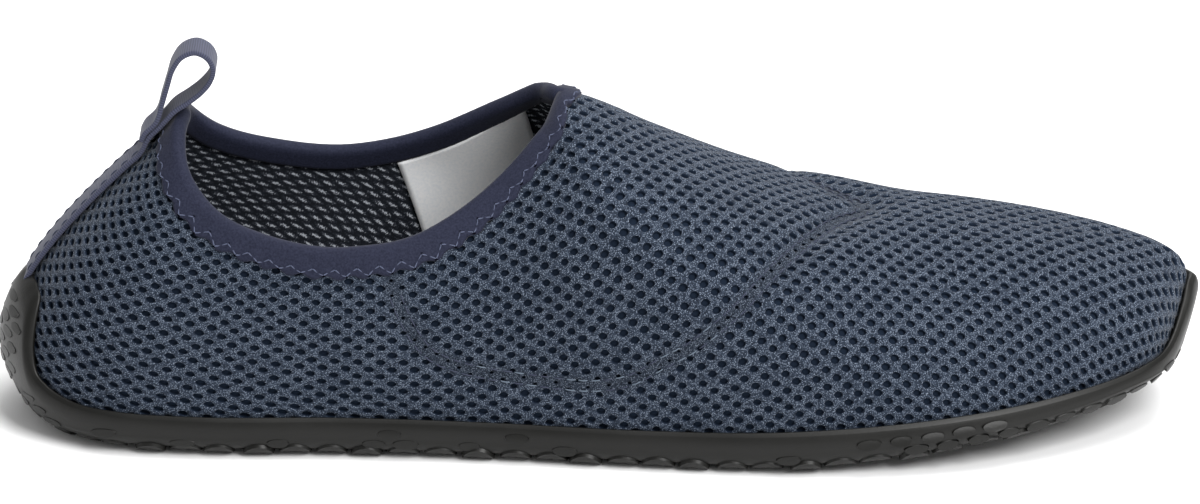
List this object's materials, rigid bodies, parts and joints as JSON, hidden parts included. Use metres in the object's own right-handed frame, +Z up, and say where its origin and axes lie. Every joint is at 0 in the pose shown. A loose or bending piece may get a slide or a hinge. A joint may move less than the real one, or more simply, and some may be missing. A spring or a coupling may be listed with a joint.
{
  "type": "water shoe",
  "caption": "Slip-on water shoe for the right foot: navy mesh upper, folded collar binding, heel pull loop and a black rubber cup sole with scale-shaped lugs.",
  "frame": {"origin": "On the ground, in the middle of the shoe's length and width.", "axes": "+X from heel to toe, -Y towards the outer (little toe) side, +Z up from the ground."},
  "size_m": [0.2814, 0.0955, 0.0909],
  "materials": {
    "black_rubber": "matte moulded rubber",
    "footbed": "dark fabric over foam",
    "navy_mesh": "perforated spacer mesh",
    "navy_binding": "smooth elastic tape",
    "white_label": "blank woven label"
  },
  "bodies": {
    "root": {"outsole": "black_rubber", "insole": "footbed", "upper": "navy_mesh", "collar_binding": "navy_binding", "pull_tape": "navy_binding", "label": "white_label"}
  },
  "joints": []
}
